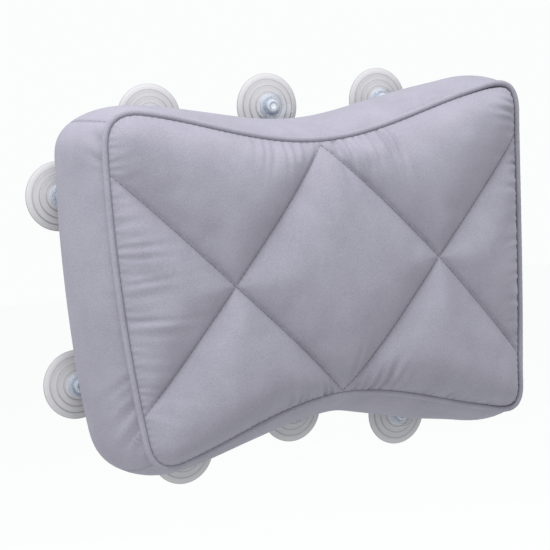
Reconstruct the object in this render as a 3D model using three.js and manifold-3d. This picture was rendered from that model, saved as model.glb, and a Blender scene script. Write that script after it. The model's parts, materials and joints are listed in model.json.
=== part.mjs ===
// A quilted bath pillow: a bow-tie cushion in velour with a piped front edge,
// boxed sides and ten clear suction cups that hold it on the tub wall.
// Millimetres. +X is to the right as seen from the front, +Y goes into the wall, +Z is up.
// The origin lies on the wall plane under the cup rims, level with the middle of the pillow.
import * as THREE from "three";
import { mergeVertices } from "three/addons/utils/BufferGeometryUtils.js";
import Module from "manifold-3d";

// Front seam, where the quilted front, the piping and the boxing are sewn together
const TOP_HALF_WIDTH = 182;
const BOTTOM_HALF_WIDTH = 167;
const HALF_HEIGHT = 140;
const TOP_DIP = 35.4; // how far the middle of the top edge lies below the top corners
const BOTTOM_RISE = 38.2; // how far the middle of the bottom edge lies above the bottom corners
const TOP_WAIST = 0.81; // 0 is a plain parabola, 1 a full S-curve between corner and middle
const BOTTOM_WAIST = 0.68;
const SIDE_BOW = 7.5; // how far the left and right edges swell outwards halfway down
const TOP_CORNER_CUT = 28; // length of each edge that a rounded top corner takes up
const BOTTOM_CORNER_CUT = 23;

// Boxing, the cloth strips round the sides
const BOXING_DEPTH = 76; // front seam to back panel
const BOXING_START = 1; // outward of the front seam, just behind the piping
const SIDE_BULGE = 21; // how far the fullest ring stands outward of the seam, left and right
const TOP_BULGE = 19.5; // the same above the middle of the top edge
const TOP_CORNER_BULGE = 4; // and above the top corners, which the seams draw in
const BOTTOM_BULGE = 22;
const BOTTOM_CORNER_BULGE = 16.5;
const CORNER_DRAW = 0.35; // share of the bulge that the corner seams take away
const BULGE_TO_BACK = 20; // from the fullest ring to the back panel
const BULGE_SPRING = 0.7; // under 1 the cloth springs out close behind the piping
const BOXING_END = 8; // outward of the front seam at the back panel
const CLOTH = 1.6; // velour with its knitted backing

// Quilted front
const FRONT_CLOTH = 1.2;
const STITCH_CROWN = 18; // how far the stitched crossings stand in front of the seam
const CROWN_SQUARE = 3; // higher keeps the front level further out, and steeper at its edge
const CROWN_ROUND = 0.7; // lower makes the front leave its edge more steeply
const CELL_PUFF = 10; // how far the middle of a cell stands above its stitched edges
const PUFF_ROUND = 0.8; // lower makes the cells leave the stitching more steeply
const WADDING_SEWN = 6; // wadding left under the stitched crossings
const WADDING_EDGE = 1; // wadding thickness where it is sewn into the seam
const QUILT_UPPER_DROP = 21; // from the top corner's round to the upper ends of the stitching
const QUILT_LOWER_RISE = 25; // from the bottom corner's round to the lower ends

// Piping, a cloth sleeve sewn round a cord, with its two plies caught in the seam
const PIPING_RADIUS = 3.1;
const PIPING_CLOTH = 0.8;
const PIPING_FLANGE = 8; // from the middle of the cord to the edge of the plies
const PLY_SLIT = 0.15; // between the two plies

// Back panel
const BACK_CROWN = 5; // how far the middle of the back stands out towards the wall
const BACK_BAND = 47; // flat band along the edge, for the cup holders

// Suction cups, one moulding each: dish, hub, neck and knob
const CUP_RADIUS = 28;
const RIM_WIDTH = 2.2; // flat ring that seals on the wall
const RIM_EDGE = 1.1; // thickness of the dish at its edge
const DISH_HOLLOW = 3.7; // depth of the hollow at its middle
const DISH_HEIGHT = 5.2; // wall to the edge of the hub
const RING_COUNT = 3; // moulded ring steps on the front of the dish
const RING_STEP = 0.55; // height of each step
const RING_SET = 0.98; // the outermost step lies this many ring widths in from the edge
const HUB_RADIUS = 9.3;
const HUB_HEIGHT = 1.6;
const NECK_RADIUS = 4;
const KNOB_LIP = 1.8; // how far the knob overlaps the holder's throat
const KNOB_HEIGHT = 4.4;
const KNOB_TAPER = 1.2; // how much narrower the knob is at its tip

// Cup holders, clear eared tabs sewn to the back panel, each with a socket for a knob
const SOCKET_WALL = 1.6;
const KNOB_ROOM = 2.2; // between the knob and the socket's wall
const KNOB_CLEAR = 2.6; // between the knob's tip and the back panel's side of the tab
const TAB_THICKNESS = 1.6;
const TAB_LENGTH = 36; // cup axis to the inner end of the tab
const TAB_HALF_WIDTH = 8;
const EAR_RADIUS = 4.2;
const EAR_SPREAD = 12.8; // cup axis to the middle of an ear's round end
const EAR_SET = 3; // how far the ears lie towards the pillow

// Where the cups sit along each edge, and how far their axes lie beyond the front seam there
const TOP_CUP_INSET = 74; // from a top corner inwards to the cup beside it
const TOP_BEYOND = 6.6;
const TOP_MIDDLE_BEYOND = 29.4;
const SIDE_UPPER = 76;
const SIDE_UPPER_BEYOND = 6.6;
const SIDE_LOWER = -76;
const SIDE_LOWER_BEYOND = 14.8;
const BOTTOM_CUP_INSET = 63; // from a bottom corner inwards to the cup beside it
const BOTTOM_BEYOND = 20.6;
const BOTTOM_MIDDLE_BEYOND = 24.2;

// Clearances
const GAP = 0.3; // between touching pieces
const FILL_GAP = 0.7; // between the filling and the boxing
const TURN_GAP = 0.4; // round the neck, which turns in its holder

// Fineness
const EDGE_STEPS = 6;
const CORNER_STEPS = 4;
const SIDE_STEPS = 4;
const LINE_STEPS = 6;
const CELL_RINGS = [0.88, 0.66, 0.35];
const CORE_RINGS = [0.75, 0.45];
const BOXING_STEPS = 4;
const BACK_STEPS = 2;
const SLEEVE_STEPS = 6;
const CORD_SIDES = 6;
const CUP_SIDES = 16;
const SOCKET_SIDES = 10;
const TAB_STEPS = 4;
const MERGE = 1e-3; // points closer than this are one

// The knob turns in its socket, and the socket sets the holder's size
const knobRadius = NECK_RADIUS + TURN_GAP + KNOB_LIP;
const socketInner = knobRadius + KNOB_ROOM;
const socketRadius = socketInner + SOCKET_WALL;

// Depths along Y, from the wall forwards
const hubTop = DISH_HEIGHT + HUB_HEIGHT;
const lipFace = -(hubTop + GAP);
const lipBack = lipFace - SOCKET_WALL;
const knobBase = lipBack - GAP;
const tabFront = knobBase - KNOB_HEIGHT - KNOB_CLEAR;
const backFace = tabFront - GAP;
const seamY = backFace - BOXING_DEPTH;

// Depths behind the middle of the front seam, where face cloth, wadding and plies lie together
const plyBack = PIPING_RADIUS;
const slitBack = plyBack - PIPING_CLOTH;
const slitFront = slitBack - PLY_SLIT;
const plyFront = slitFront - PIPING_CLOTH;
const coreSet = plyFront - GAP;
const waddingSet = coreSet - WADDING_EDGE;
const coverBack = waddingSet - GAP;
const boxingFront = plyBack + GAP;
const bulgeDepth = BOXING_DEPTH - BULGE_TO_BACK;

const wasm = await Module();
wasm.setup();

const point = (x, y, z) => new THREE.Vector3(x, y, z);

// Outline of the front seam

// Height of the top or bottom edge at x: a dip between two corners.
function edgeHeight(x, halfWidth, cornerZ, dip, waist) {
  const share = Math.abs(x) / halfWidth;
  const curve = 0.5 - 0.5 * Math.cos(Math.PI * share);
  return cornerZ - dip * (1 - (1 - waist) * share * share - waist * curve);
}

const topEdge = (x) => edgeHeight(x, TOP_HALF_WIDTH, HALF_HEIGHT, TOP_DIP, TOP_WAIST);
const bottomEdge = (x) =>
  edgeHeight(x, BOTTOM_HALF_WIDTH, -HALF_HEIGHT, -BOTTOM_RISE, BOTTOM_WAIST);

// Half width of the outline at height z, along the bowed side.
function sideEdge(z) {
  const up = 0.5 + (0.5 * z) / HALF_HEIGHT;
  const straight = BOTTOM_HALF_WIDTH + (TOP_HALF_WIDTH - BOTTOM_HALF_WIDTH) * up;
  return straight + SIDE_BOW * (1 - (z / HALF_HEIGHT) ** 2);
}

// Points from one value to another, without the last one.
function along(from, to, steps, place) {
  return Array.from({ length: steps }, (_, i) => place(from + ((to - from) * i) / steps));
}

function corner(start, peak, end) {
  const curve = new THREE.QuadraticBezierCurve(start, peak, end);
  return curve.getPoints(CORNER_STEPS).slice(0, -1);
}

// The seam as points in (x, z), clockwise from the middle of the top edge,
// with the places where the stitched lines end and the corners are sewn.
function seamOutline() {
  const flat = (x, z) => new THREE.Vector2(x, z);
  const onTop = (x) => flat(x, topEdge(x));
  const onBottom = (x) => flat(x, bottomEdge(x));
  const onSide = (z) => flat(sideEdge(z), z);
  const topCut = TOP_HALF_WIDTH - TOP_CORNER_CUT;
  const bottomCut = BOTTOM_HALF_WIDTH - BOTTOM_CORNER_CUT;
  const upperCut = HALF_HEIGHT - TOP_CORNER_CUT;
  const lowerCut = BOTTOM_CORNER_CUT - HALF_HEIGHT;
  const quiltUpper = upperCut - QUILT_UPPER_DROP;
  const quiltLower = lowerCut + QUILT_LOWER_RISE;
  const right = [
    ...along(0, topCut, EDGE_STEPS, onTop),
    ...corner(onTop(topCut), flat(TOP_HALF_WIDTH, HALF_HEIGHT), onSide(upperCut)),
    onSide(upperCut),
    ...along(quiltUpper, quiltLower, SIDE_STEPS, onSide),
    onSide(quiltLower),
    ...corner(onSide(lowerCut), flat(BOTTOM_HALF_WIDTH, -HALF_HEIGHT), onBottom(bottomCut)),
    ...along(bottomCut, 0, EDGE_STEPS, onBottom),
    onBottom(0),
  ];
  const left = right.slice(1, -1).reverse();
  const points = [...right, ...left.map((p) => flat(-p.x, p.y))];
  const upper = EDGE_STEPS + CORNER_STEPS + 1;
  const lower = upper + SIDE_STEPS;
  const bottom = right.length - 1;
  const mirror = (i) => points.length - i;
  const topCorner = EDGE_STEPS + CORNER_STEPS / 2;
  const bottomCorner = lower + 1 + CORNER_STEPS / 2;
  return {
    points,
    ends: { top: 0, rightUpper: upper, rightLower: lower, bottom },
    leftEnds: { leftLower: mirror(lower), leftUpper: mirror(upper) },
    corners: [mirror(topCorner), topCorner, bottomCorner, mirror(bottomCorner)],
  };
}

const seam = seamOutline();
const count = seam.points.length;

// Outward direction of the outline at each point.
const outward = seam.points.map((_, i) => {
  const before = seam.points[(i + count - 1) % count];
  const after = seam.points[(i + 1) % count];
  const tangent = after.clone().sub(before).normalize();
  return new THREE.Vector2(-tangent.y, tangent.x);
});

const offsetPoint = (i, offset) => seam.points[i].clone().addScaledVector(outward[i], offset);

// The whole outline moved outwards, as points at depth y.
function ring(offset, y) {
  return seam.points.map((_, i) => {
    const p = offsetPoint(i, offset);
    return point(p.x, y, p.y);
  });
}

// Closed surfaces

// A closed mesh of triangles with its faces turned outwards.
function closedGeometry(triangles) {
  let volume = 0;
  for (const [a, b, c] of triangles) volume += a.dot(b.clone().cross(c));
  const turned = volume < 0 ? triangles.map(([a, b, c]) => [a, c, b]) : triangles;
  return new THREE.BufferGeometry().setFromPoints(turned.flat());
}

// Two triangles for each pair of neighbours on two closed loops of equal length.
function band(first, second) {
  return first.flatMap((a, i) => {
    const next = (i + 1) % first.length;
    return [
      [a, first[next], second[next]],
      [a, second[next], second[i]],
    ];
  });
}

// The inside of a loop, as rings that shrink to its middle. It faces the front.
function disc(loop, middle, shares, place) {
  let outer = loop;
  const triangles = [];
  for (const share of shares) {
    const inner = loop.map((p) => place(middle.clone().lerp(p, share), share));
    triangles.push(...band(inner, outer));
    outer = inner;
  }
  const top = place(middle.clone(), 0);
  return [...triangles, ...outer.map((a, i) => [top, outer[(i + 1) % outer.length], a])];
}

const reversed = (triangles) => triangles.map(([a, b, c]) => [a, c, b]);

// A band split along the other diagonals, as the inner face of a swept sheet is.
const crossedBand = (first, second) =>
  reversed(band(first.toReversed(), second.toReversed()));

// A section carried along stations: closed on itself, or capped between its two halves.
function sweep(sections, closed) {
  const triangles = [];
  const last = closed ? sections.length : sections.length - 1;
  for (let i = 0; i < last; i += 1) {
    triangles.push(...band(sections[i], sections[(i + 1) % sections.length]));
  }
  if (!closed) {
    triangles.push(...cap(sections[0]), ...reversed(cap(sections.at(-1))));
  }
  return closedGeometry(triangles);
}

// The end of a sheet: quads between its outer half and its inner half.
function cap(section) {
  const triangles = [];
  const end = section.length - 1;
  for (let j = 0; j < section.length / 2 - 1; j += 1) {
    triangles.push([section[j], section[j + 1], section[end - j - 1]]);
    triangles.push([section[j], section[end - j - 1], section[end - j]]);
  }
  return reversed(triangles);
}

// Manifold solids, for pieces that are joined

function solidOf(geometry) {
  const bare = geometry.clone();
  bare.deleteAttribute("normal");
  bare.deleteAttribute("uv");
  const merged = mergeVertices(bare, MERGE);
  const mesh = new wasm.Mesh({
    numProp: 3,
    vertProperties: merged.attributes.position.array,
    triVerts: new Uint32Array(merged.index.array),
  });
  return new wasm.Manifold(mesh);
}

function geometryOf(solid) {
  const mesh = solid.getMesh();
  const geometry = new THREE.BufferGeometry();
  geometry.setAttribute("position", new THREE.BufferAttribute(mesh.vertProperties, 3));
  geometry.setIndex(new THREE.BufferAttribute(mesh.triVerts, 1));
  return geometry;
}

// Quilted front

const coverEdge = -(PIPING_RADIUS + GAP); // the front cloth ends beside the piping
const coverLoop = ring(coverEdge, seamY);

// How far out a point lies: 0 in the middle, 1 on the edge of the front cloth.
function shareOut(x, z) {
  const onLine = -1e-9;
  for (let i = 0; i < count; i += 1) {
    const a = coverLoop[i];
    const b = coverLoop[(i + 1) % count];
    const turn = a.x * b.z - a.z * b.x;
    const onA = (x * b.z - z * b.x) / turn;
    const onB = (a.x * z - a.z * x) / turn;
    if (onA >= onLine && onB >= onLine) return onA + onB;
  }
  return 0;
}

// The stitched surface: steep beside the piping and level in the middle.
function stitchedY(x, z) {
  const share = Math.min(1, shareOut(x, z));
  return seamY - STITCH_CROWN * (1 - share ** CROWN_SQUARE) ** CROWN_ROUND;
}

// A stitched line runs straight from one end on the seam to the other, seen from the front.
function crossing(a, b, c, d) {
  const along1 = b.clone().sub(a);
  const along2 = d.clone().sub(c);
  const gap = c.clone().sub(a);
  const share = gap.cross(along2) / along1.cross(along2);
  return a.clone().addScaledVector(along1, share);
}

const lineEnd = (i) => offsetPoint(i, coverEdge);
const lineEnds = { ...seam.ends, ...seam.leftEnds };
const endAt = Object.fromEntries(
  Object.entries(lineEnds).map(([name, i]) => [name, lineEnd(i)]),
);
const rightCross = crossing(endAt.rightUpper, endAt.bottom, endAt.rightLower, endAt.top);
const leftCross = crossing(endAt.leftUpper, endAt.bottom, endAt.leftLower, endAt.top);

// Half of a stitched line, from its end on the seam to a crossing, without the crossing.
function stitchLine(from, to) {
  return along(0, 1, LINE_STEPS, (share) => from.clone().lerp(to, share));
}

const stitchBack = (from, to) => [to, ...stitchLine(from, to).slice(1).reverse()];

// The edge of the front cloth between two places on the seam, clockwise, without the last.
function edgeBetween(from, to) {
  const steps = (to - from + count) % count;
  return along(0, steps, steps, (step) => lineEnd((from + Math.round(step)) % count));
}

// One quilted cell between the seam and two half lines.
function sideCell(from, to, cross) {
  return [
    ...edgeBetween(lineEnds[from], lineEnds[to]),
    ...stitchLine(endAt[to], cross),
    ...stitchBack(endAt[from], cross),
  ];
}

const cells = [
  sideCell("top", "rightUpper", rightCross),
  sideCell("rightUpper", "rightLower", rightCross),
  sideCell("rightLower", "bottom", rightCross),
  sideCell("bottom", "leftLower", leftCross),
  sideCell("leftLower", "leftUpper", leftCross),
  sideCell("leftUpper", "top", leftCross),
  [
    ...stitchLine(endAt.top, rightCross),
    ...stitchBack(endAt.bottom, rightCross),
    ...stitchLine(endAt.bottom, leftCross),
    ...stitchBack(endAt.top, leftCross),
  ],
];

// All cells as one front-facing surface, set back from the face of the cloth by depth.
function quiltedFace(depth) {
  return cells.flatMap((cell) => {
    const loop = cell.map((p) => point(p.x, stitchedY(p.x, p.y) + depth, p.y));
    const middle = loop.reduce((sum, p) => sum.add(p), point(0, 0, 0)).divideScalar(loop.length);
    const puffed = (p, share) => {
      const puff = CELL_PUFF * (1 - share ** 2) ** PUFF_ROUND;
      return point(p.x, stitchedY(p.x, p.z) + depth - puff, p.z);
    };
    return disc(loop, middle, CELL_RINGS, puffed);
  });
}

// The domed face of the filling, under the wadding.
function coreY(share) {
  const crown = STITCH_CROWN - WADDING_SEWN;
  return seamY + coreSet - crown * (1 - share * share);
}

const coreMiddle = point(0, 0, 0);
const atCore = (extra) => (p, share) => point(p.x, coreY(share) + extra, p.z);

function frontCover() {
  const face = coverBack - FRONT_CLOTH;
  return closedGeometry([
    ...quiltedFace(face),
    ...reversed(quiltedFace(coverBack)),
    ...band(ring(coverEdge, seamY + face), ring(coverEdge, seamY + coverBack)),
  ]);
}

function quiltWadding() {
  const back = ring(coverEdge, seamY + coreSet);
  return closedGeometry([
    ...quiltedFace(waddingSet),
    ...band(ring(coverEdge, seamY + waddingSet), back),
    ...reversed(disc(back, coreMiddle, CORE_RINGS, atCore(0))),
  ]);
}

// Piping

// Section of the sleeve round the cord, as (outward, back) pairs. Its plies run inwards.
function sleeveSection() {
  const inner = PIPING_RADIUS - PIPING_CLOTH;
  const arc = (radius, from, to, steps) =>
    Array.from({ length: steps + 1 }, (_, i) => {
      const angle = from + ((to - from) * i) / steps;
      return [radius * Math.cos(angle), radius * Math.sin(angle)];
    });
  const backOfCord = 2.5 * Math.PI;
  const outerStart = Math.PI - Math.asin(plyFront / PIPING_RADIUS);
  const innerEnd = Math.PI - Math.asin(slitFront / inner);
  return [
    ...arc(PIPING_RADIUS, outerStart, backOfCord, SLEEVE_STEPS),
    [-PIPING_FLANGE, plyBack],
    [-PIPING_FLANGE, slitBack],
    ...arc(inner, backOfCord, innerEnd, SLEEVE_STEPS),
    [-PIPING_FLANGE, slitFront],
    [-PIPING_FLANGE, plyFront],
  ];
}

function cordSection() {
  const radius = PIPING_RADIUS - PIPING_CLOTH - GAP;
  return Array.from({ length: CORD_SIDES }, (_, i) => {
    const angle = (2 * Math.PI * i) / CORD_SIDES;
    return [radius * Math.cos(angle), radius * Math.sin(angle)];
  });
}

// A section carried once round the seam.
function roundTheSeam(section) {
  const stations = seam.points.map((_, i) =>
    section.map(([out, back]) => {
      const p = offsetPoint(i, out);
      return point(p.x, seamY + back, p.y);
    }),
  );
  return sweep(stations, true);
}

// Boxing strips

// The fullest ring at a point of the seam, as a move in (x, z).
function fullBulge(i) {
  const { x, y: z } = seam.points[i];
  const above = z > 0;
  const share = Math.min(1, Math.abs(x) / (above ? TOP_HALF_WIDTH : BOTTOM_HALF_WIDTH));
  const [middle, atCorner] = above
    ? [TOP_BULGE, TOP_CORNER_BULGE]
    : [BOTTOM_BULGE, BOTTOM_CORNER_BULGE];
  const upright = middle + (atCorner - middle) * share ** 2;
  const full = new THREE.Vector2(outward[i].x * SIDE_BULGE, outward[i].y * upright);
  const diagonal = 2 * Math.abs(outward[i].x * outward[i].y);
  return full.multiplyScalar(1 - CORNER_DRAW * diagonal ** 2);
}

// The outer face of the boxing at a depth behind the seam, as a move in (x, z) from the seam.
function boxingMove(i, depth) {
  const start = outward[i].clone().multiplyScalar(BOXING_START);
  const full = fullBulge(i);
  if (depth < bulgeDepth) {
    const share = Math.max(0, depth - boxingFront) / (bulgeDepth - boxingFront);
    return start.lerp(full, Math.sin((Math.PI / 2) * share) ** BULGE_SPRING);
  }
  const share = (depth - bulgeDepth) / (BOXING_DEPTH - bulgeDepth);
  return full.lerp(outward[i].clone().multiplyScalar(BOXING_END), share ** 2);
}

const boxingDepths = [
  ...along(boxingFront, bulgeDepth, BOXING_STEPS, (depth) => depth),
  ...along(bulgeDepth, BOXING_DEPTH, BACK_STEPS, (depth) => depth),
  BOXING_DEPTH,
];

// Side profile at a point of the seam, moved inwards by a thickness square to its slope.
function boxingProfile(i, inset) {
  const nudge = 0.01;
  const outAt = (depth) => boxingMove(i, depth).dot(outward[i]);
  return boxingDepths.map((depth, j) => {
    const atFront = j === 0;
    const atBack = j === boxingDepths.length - 1;
    const slope = atFront ? 0 : (outAt(depth) - outAt(depth - nudge)) / nudge;
    const length = Math.hypot(1, slope);
    const inwards = atBack ? inset * length : inset / length;
    const backwards = atBack ? 0 : (inset * slope) / length;
    const p = seam.points[i].clone().add(boxingMove(i, depth));
    p.addScaledVector(outward[i], -inwards);
    return point(p.x, seamY + depth + backwards, p.y);
  });
}

// The same profile, stopped short at a depth on its last stretch.
function shortProfile(i, inset, endDepth) {
  const profile = boxingProfile(i, inset);
  const last = profile.at(-1);
  const before = profile.at(-2);
  const share = (seamY + endDepth - before.y) / (last.y - before.y);
  return [...profile.slice(0, -1), before.clone().lerp(last, share)];
}

// A strip between two corner seams, clockwise, with half the seam gap left free at each end.
function boxingStrip(from, to) {
  const steps = (to - from + count) % count;
  const stations = Array.from({ length: steps + 1 }, (_, step) => {
    const i = (from + step) % count;
    const inside = step === 0 ? 1 : step === steps ? -1 : 0;
    const seamGap = (inside * GAP) / 2;
    const shift = point(outward[i].y * seamGap, 0, -outward[i].x * seamGap);
    const section = [...boxingProfile(i, 0), ...boxingProfile(i, CLOTH).reverse()];
    return section.map((p) => p.add(shift));
  });
  return sweep(stations, false);
}

// Back panel

const backFlat = 1 - BACK_BAND / (HALF_HEIGHT - Math.max(TOP_DIP, BOTTOM_RISE));
const backRings = [backFlat, backFlat / 2];

// How far the back swells at a share of the way out: nothing on the flat band.
function backBulge(share) {
  const inside = Math.max(0, 1 - share / backFlat);
  return BACK_CROWN * (1 - (1 - inside) ** 2);
}

function backPanel() {
  const outer = seam.points.map((_, i) => boxingProfile(i, CLOTH + GAP).at(-1));
  const inner = outer.map((p) => p.clone().setY(backFace - CLOTH));
  const atFace = (y) => (p, share) => point(p.x, y + backBulge(share), p.z);
  const middle = point(0, backFace, 0);
  return closedGeometry([
    ...reversed(disc(outer, middle, backRings, atFace(backFace))),
    ...band(inner, outer),
    ...disc(inner, middle, backRings, atFace(backFace - CLOTH)),
  ]);
}

// Filling, which fills the space inside the wadding, the boxing and the back panel

function filling() {
  const backDepth = BOXING_DEPTH - CLOTH - GAP;
  const profiles = seam.points.map((_, i) => shortProfile(i, CLOTH + FILL_GAP, backDepth));
  const side = boxingDepths.map((_, j) => profiles.map((profile) => profile[j]));
  const flange = ring(-(PIPING_FLANGE + GAP), seamY + boxingFront);
  const rings = CORE_RINGS.map((share) =>
    coverLoop.map((p) => atCore(GAP)(coreMiddle.clone().lerp(p, share), share)),
  );
  const loops = [...rings.toReversed(), flange, side[0]];
  const triangles = loops.slice(1).flatMap((loop, i) => band(loops[i], loop));
  const sides = side.slice(1).flatMap((loop, j) => crossedBand(side[j], loop));
  const frontMiddle = point(0, coreY(0) + GAP, 0);
  const smallest = loops[0];
  const front = smallest.map((a, i) => [frontMiddle, smallest[(i + 1) % count], a]);
  const backLoop = side.at(-1);
  const atBack = (p, share) => point(p.x, backLoop[0].y + backBulge(share), p.z);
  return closedGeometry([
    ...front,
    ...triangles,
    ...sides,
    ...reversed(disc(backLoop, point(0, backLoop[0].y, 0), backRings, atBack)),
  ]);
}

// Suction cups, turned about the Y axis with the rim on the wall plane

function suctionCup() {
  const width = CUP_RADIUS - HUB_RADIUS;
  const slope = (DISH_HEIGHT - RIM_EDGE - RING_COUNT * RING_STEP) / width;
  const spacing = width / (RING_COUNT + 0.5);
  const rings = Array.from({ length: RING_COUNT }, (_, i) => {
    const inwards = spacing * (i + RING_SET);
    const below = RIM_EDGE + slope * inwards + i * RING_STEP;
    const radius = CUP_RADIUS - inwards;
    return [
      [radius, below],
      [radius - RING_STEP / 2, below + RING_STEP],
    ];
  });
  const profile = [
    [0, DISH_HOLLOW],
    [CUP_RADIUS / 2, (2 / 3) * DISH_HOLLOW],
    [CUP_RADIUS - RIM_WIDTH, 0],
    [CUP_RADIUS, 0],
    [CUP_RADIUS, RIM_EDGE],
    ...rings.flat(),
    [HUB_RADIUS, DISH_HEIGHT],
    [HUB_RADIUS - HUB_HEIGHT / 2, hubTop],
    [NECK_RADIUS, hubTop],
    [NECK_RADIUS, -knobBase],
    [knobRadius, -knobBase],
    [knobRadius - KNOB_TAPER, KNOB_HEIGHT - knobBase],
    [0, KNOB_HEIGHT - knobBase],
  ];
  const points = profile.map(([radius, height]) => new THREE.Vector2(radius, -height));
  return new THREE.LatheGeometry(points.toReversed(), CUP_SIDES);
}

// Cup holders, drawn with the pillow towards +X and the cup axis at the origin

// A flat plate of the tab's thickness, from an outline in (x, z).
function plate(outline) {
  const geometry = new THREE.ExtrudeGeometry(outline, {
    depth: TAB_THICKNESS,
    bevelEnabled: false,
    curveSegments: TAB_STEPS,
  });
  geometry.rotateX(Math.PI / 2);
  geometry.translate(0, tabFront + TAB_THICKNESS, 0);
  return solidOf(geometry);
}

// A strip with round ends, from the middle of one end to the middle of the other.
function roundedStrip(from, to, radius) {
  const direction = to.clone().sub(from).angle();
  const quarter = Math.PI / 2;
  const strip = new THREE.Shape();
  strip.absarc(to.x, to.y, radius, direction - quarter, direction + quarter, false);
  strip.absarc(from.x, from.y, radius, direction + quarter, direction + 3 * quarter, false);
  return strip;
}

function cupHolder() {
  const axis = new THREE.Vector2(0, 0);
  const tabEnd = new THREE.Vector2(TAB_LENGTH - TAB_HALF_WIDTH, 0);
  const ear = new THREE.Vector2(EAR_SET, EAR_SPREAD);
  const otherEar = new THREE.Vector2(EAR_SET, -EAR_SPREAD);
  const tab = plate(roundedStrip(axis, tabEnd, TAB_HALF_WIDTH));
  const ears = plate(roundedStrip(otherEar, ear, EAR_RADIUS));
  const throat = NECK_RADIUS + TURN_GAP;
  const cavity = [
    [0, tabFront - GAP],
    [socketInner, tabFront - GAP],
    [socketInner, lipBack],
    [throat, lipBack],
    [throat, lipFace + GAP],
    [0, lipFace + GAP],
  ];
  const boss = [
    [0, tabFront],
    [socketRadius, tabFront],
    [socketRadius, lipFace],
    [0, lipFace],
  ];
  const turned = (profile) => {
    const points = profile.map(([radius, y]) => new THREE.Vector2(radius, y));
    return solidOf(new THREE.LatheGeometry(points, SOCKET_SIDES));
  };
  return geometryOf(turned(boss).add(tab).add(ears).subtract(turned(cavity)));
}

// Materials

const velour = { color: 0xa09eab, roughness: 0.95, metalness: 0 };
const fibre = { color: 0xf2f1ee, roughness: 1, metalness: 0 };
const cottonCord = { color: 0xe6e2d8, roughness: 0.9, metalness: 0 };
const clearVinyl = {
  color: 0xd2d4da,
  roughness: 0.25,
  metalness: 0,
  transparent: true,
  opacity: 0.6,
};

function named(name, geometry, finish) {
  const mesh = new THREE.Mesh(geometry, new THREE.MeshStandardMaterial(finish));
  mesh.name = name;
  return mesh;
}

// Where each cup sits, with the turn that points its holder's tab at the pillow

const onTop = (x, beyond) => ({ x, z: topEdge(x) + beyond, turn: Math.PI / 2 });
const onBottom = (x, beyond) => ({ x, z: bottomEdge(x) - beyond, turn: -Math.PI / 2 });
const onRight = (z, beyond) => ({ x: sideEdge(z) + beyond, z, turn: Math.PI });
const onLeft = (z, beyond) => ({ x: -sideEdge(z) - beyond, z, turn: 0 });

const topSpread = TOP_HALF_WIDTH - TOP_CUP_INSET;
const bottomSpread = BOTTOM_HALF_WIDTH - BOTTOM_CUP_INSET;

const cupPlaces = {
  top_left: onTop(-topSpread, TOP_BEYOND),
  top_middle: onTop(0, TOP_MIDDLE_BEYOND),
  top_right: onTop(topSpread, TOP_BEYOND),
  right_upper: onRight(SIDE_UPPER, SIDE_UPPER_BEYOND),
  right_lower: onRight(SIDE_LOWER, SIDE_LOWER_BEYOND),
  bottom_right: onBottom(bottomSpread, BOTTOM_BEYOND),
  bottom_middle: onBottom(0, BOTTOM_MIDDLE_BEYOND),
  bottom_left: onBottom(-bottomSpread, BOTTOM_BEYOND),
  left_lower: onLeft(SIDE_LOWER, SIDE_LOWER_BEYOND),
  left_upper: onLeft(SIDE_UPPER, SIDE_UPPER_BEYOND),
};

// Assembly

const pillow = new THREE.Group();
const [topLeft, topRight, bottomRight, bottomLeft] = seam.corners;
pillow.add(
  named("filling", filling(), fibre),
  named("quilt_wadding", quiltWadding(), fibre),
  named("front_cover", frontCover(), velour),
  named("piping_cord", roundTheSeam(cordSection()), cottonCord),
  named("piping_cover", roundTheSeam(sleeveSection()), velour),
  named("boxing_top", boxingStrip(topLeft, topRight), velour),
  named("boxing_right", boxingStrip(topRight, bottomRight), velour),
  named("boxing_bottom", boxingStrip(bottomRight, bottomLeft), velour),
  named("boxing_left", boxingStrip(bottomLeft, topLeft), velour),
  named("back_panel", backPanel(), velour),
);

const cupGeometry = suctionCup();
const holderGeometry = cupHolder();
for (const [place, { x, z, turn }] of Object.entries(cupPlaces)) {
  const holder = named(`cup_holder_${place}`, holderGeometry, clearVinyl);
  holder.rotation.y = turn;
  const cup = named(`suction_cup_${place}`, cupGeometry, clearVinyl);
  const station = new THREE.Group();
  station.position.set(x, 0, z);
  station.add(holder, cup);
  pillow.add(station);
}

export default pillow;
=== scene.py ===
import functools
import json
import math

import bmesh
import bpy
import numpy as np
from mathutils import Euler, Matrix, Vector, geometry


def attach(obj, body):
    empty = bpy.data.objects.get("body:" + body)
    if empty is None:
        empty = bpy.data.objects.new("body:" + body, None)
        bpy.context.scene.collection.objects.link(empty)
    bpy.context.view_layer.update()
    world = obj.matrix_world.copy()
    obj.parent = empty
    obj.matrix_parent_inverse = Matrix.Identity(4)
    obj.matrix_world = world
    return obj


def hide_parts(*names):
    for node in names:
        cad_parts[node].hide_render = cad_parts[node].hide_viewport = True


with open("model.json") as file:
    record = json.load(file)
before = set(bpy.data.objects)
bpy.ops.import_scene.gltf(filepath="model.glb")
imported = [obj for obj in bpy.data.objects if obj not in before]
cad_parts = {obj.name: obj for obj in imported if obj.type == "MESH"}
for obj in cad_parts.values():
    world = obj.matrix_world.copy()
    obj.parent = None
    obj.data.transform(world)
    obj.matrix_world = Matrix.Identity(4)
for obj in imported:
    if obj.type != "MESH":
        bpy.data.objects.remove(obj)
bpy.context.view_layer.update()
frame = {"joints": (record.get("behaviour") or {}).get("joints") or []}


# Filling: loose crimped polyester fibre, blown into the sewn cover before its last seam is
# closed. It hides inside, and its lumps round out the cover.
TOP_HALF_WIDTH, BOTTOM_HALF_WIDTH, HALF_HEIGHT = 182.0, 167.0, 140.0
TOP_DIP, BOTTOM_RISE = 35.4, 38.2
TOP_WAIST, BOTTOM_WAIST = 0.81, 0.68
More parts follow.
